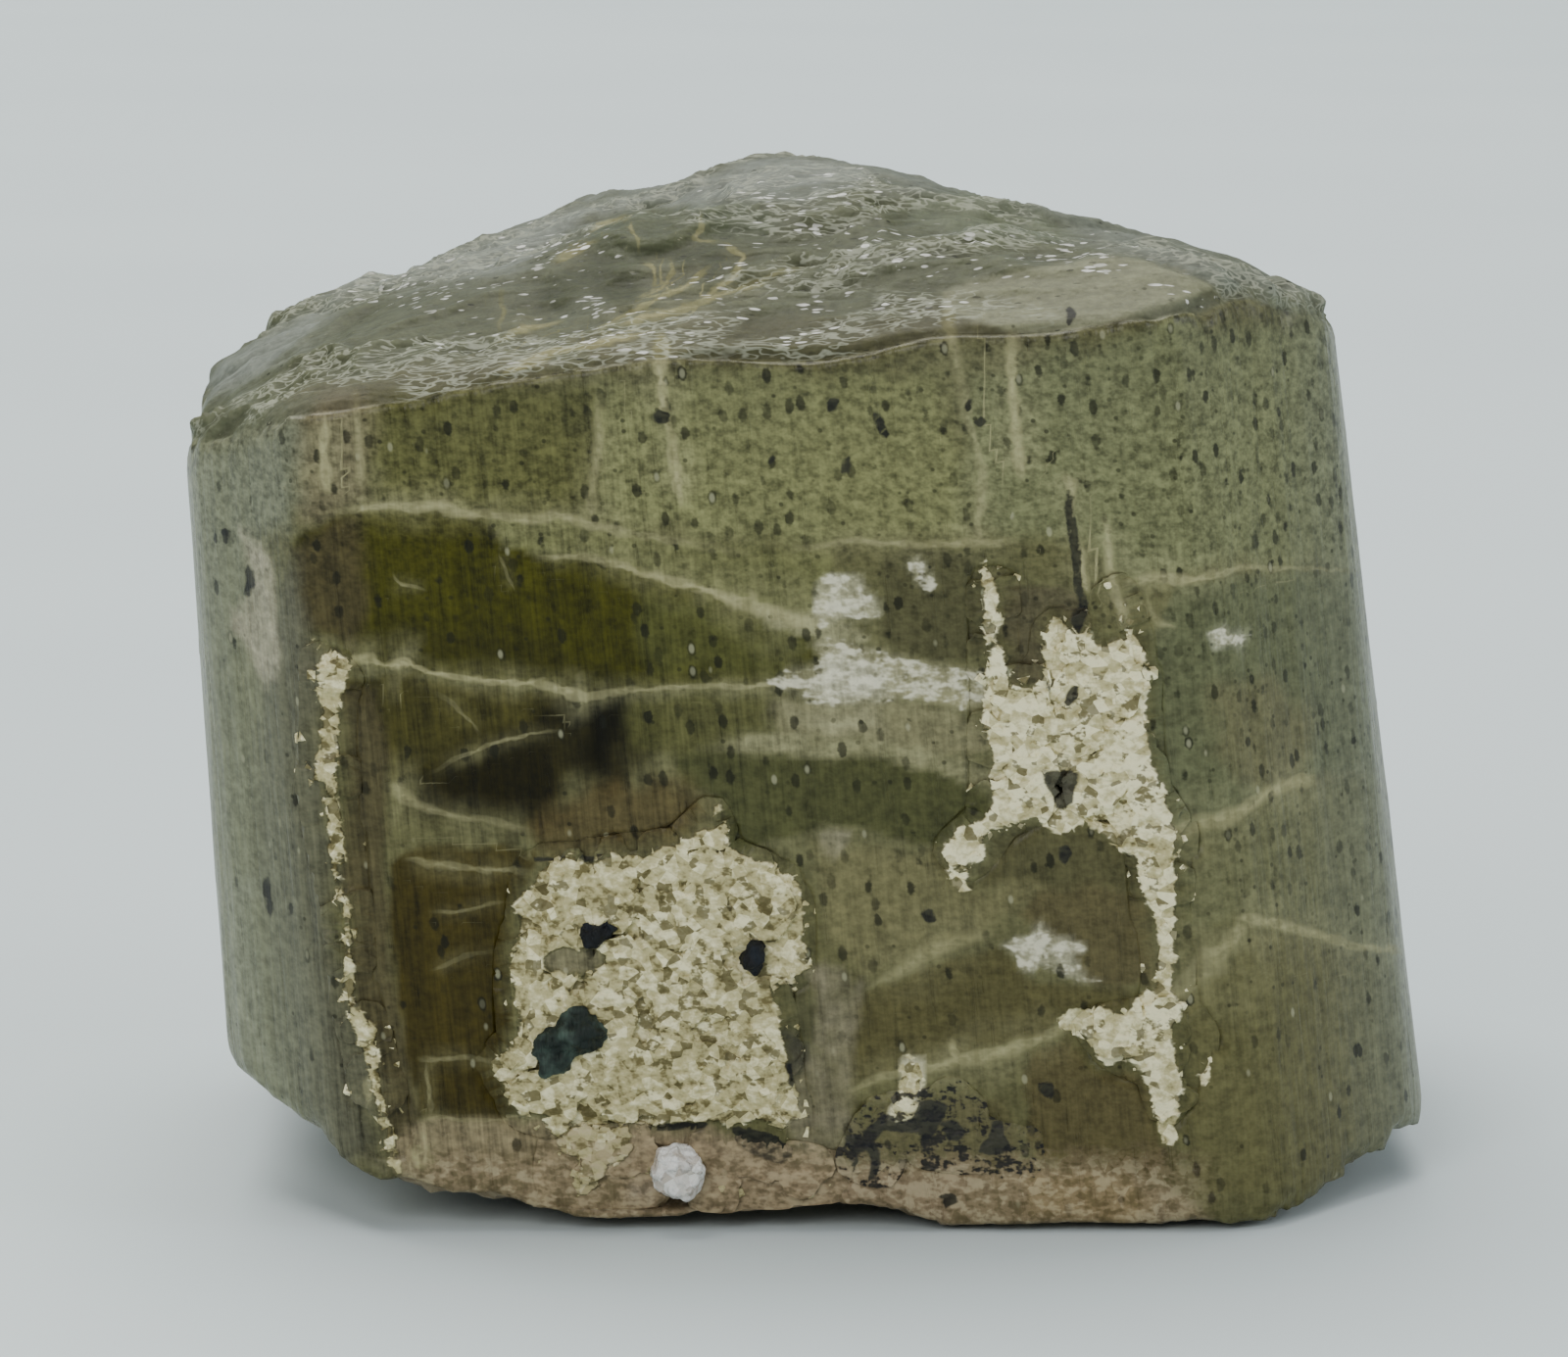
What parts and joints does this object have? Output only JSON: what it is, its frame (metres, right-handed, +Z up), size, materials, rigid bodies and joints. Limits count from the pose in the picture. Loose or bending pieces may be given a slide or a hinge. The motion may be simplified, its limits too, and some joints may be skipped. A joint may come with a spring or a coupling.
{
  "type": "scapolite crystal",
  "caption": "Rough stubby eight-sided crystal prism, broken off at both ends, with granular feldspar filling and dark grains set in its faces.",
  "frame": {"origin": "centre of the crystal's footprint box, on the surface it rests on", "axes": "+X to the right of the front face, along the widest way; +Y from the front face to the back; +Z up, near the crystal's long axis"},
  "size_m": [0.0449, 0.0358, 0.0354],
  "materials": {
    "crystal": "satin",
    "feldspar": "matte",
    "rosy_feldspar": "matte",
    "dark_mineral": "satin",
    "dark_green_mineral": "matte",
    "quartz": "gloss"
  },
  "bodies": {
    "root": {"crystal": "crystal", "lower_matrix_patch": "feldspar", "upper_matrix_patch": "feldspar", "left_matrix_vein": "feldspar", "base_matrix_seam": "rosy_feldspar", "back_matrix_patch": "feldspar", "dark_grain_left": "dark_mineral", "dark_grain_right": "dark_mineral", "dark_tablet": "dark_green_mineral", "dark_base_cluster": "dark_mineral", "back_dark_grain": "dark_mineral", "clear_grain": "quartz"}
  },
  "joints": []
}
